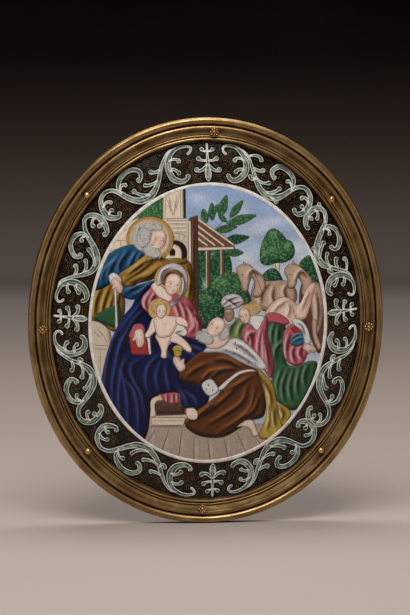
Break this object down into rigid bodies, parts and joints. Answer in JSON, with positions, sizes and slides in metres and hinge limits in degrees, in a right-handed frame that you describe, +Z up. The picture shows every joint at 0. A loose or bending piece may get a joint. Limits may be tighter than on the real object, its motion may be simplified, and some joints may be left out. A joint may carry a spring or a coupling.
{
  "type": "domed enamel plaque",
  "caption": "Oval domed enamel plaque with a painted picture and a scrollwork border, held in a gilt-brass moulding with a flat back for a wall.",
  "frame": {"origin": "on the flat back of the moulding at the top of the oval, where the plaque is held to the wall", "axes": "+Z up, +Y into the wall, the front faces -Y, +X to the right seen from the front"},
  "size_m": [0.2398, 0.0197, 0.2738],
  "materials": {
    "gilt_moulding": "antique gilt, satin on the high members, dark in the grooves",
    "gilt_pins": "brighter gilt, rubbed",
    "enamel": "glossy painted enamel on a dark brown-black ground"
  },
  "bodies": {
    "root": {"enamel_plaque": "enamel", "frame_moulding": "gilt_moulding", "rosette_top": "gilt_pins", "rosette_right": "gilt_pins", "rosette_bottom": "gilt_pins", "rosette_left": "gilt_pins", "ball_pin_upper_right": "gilt_pins", "ball_pin_lower_right": "gilt_pins", "ball_pin_lower_left": "gilt_pins", "ball_pin_upper_left": "gilt_pins"}
  },
  "joints": []
}
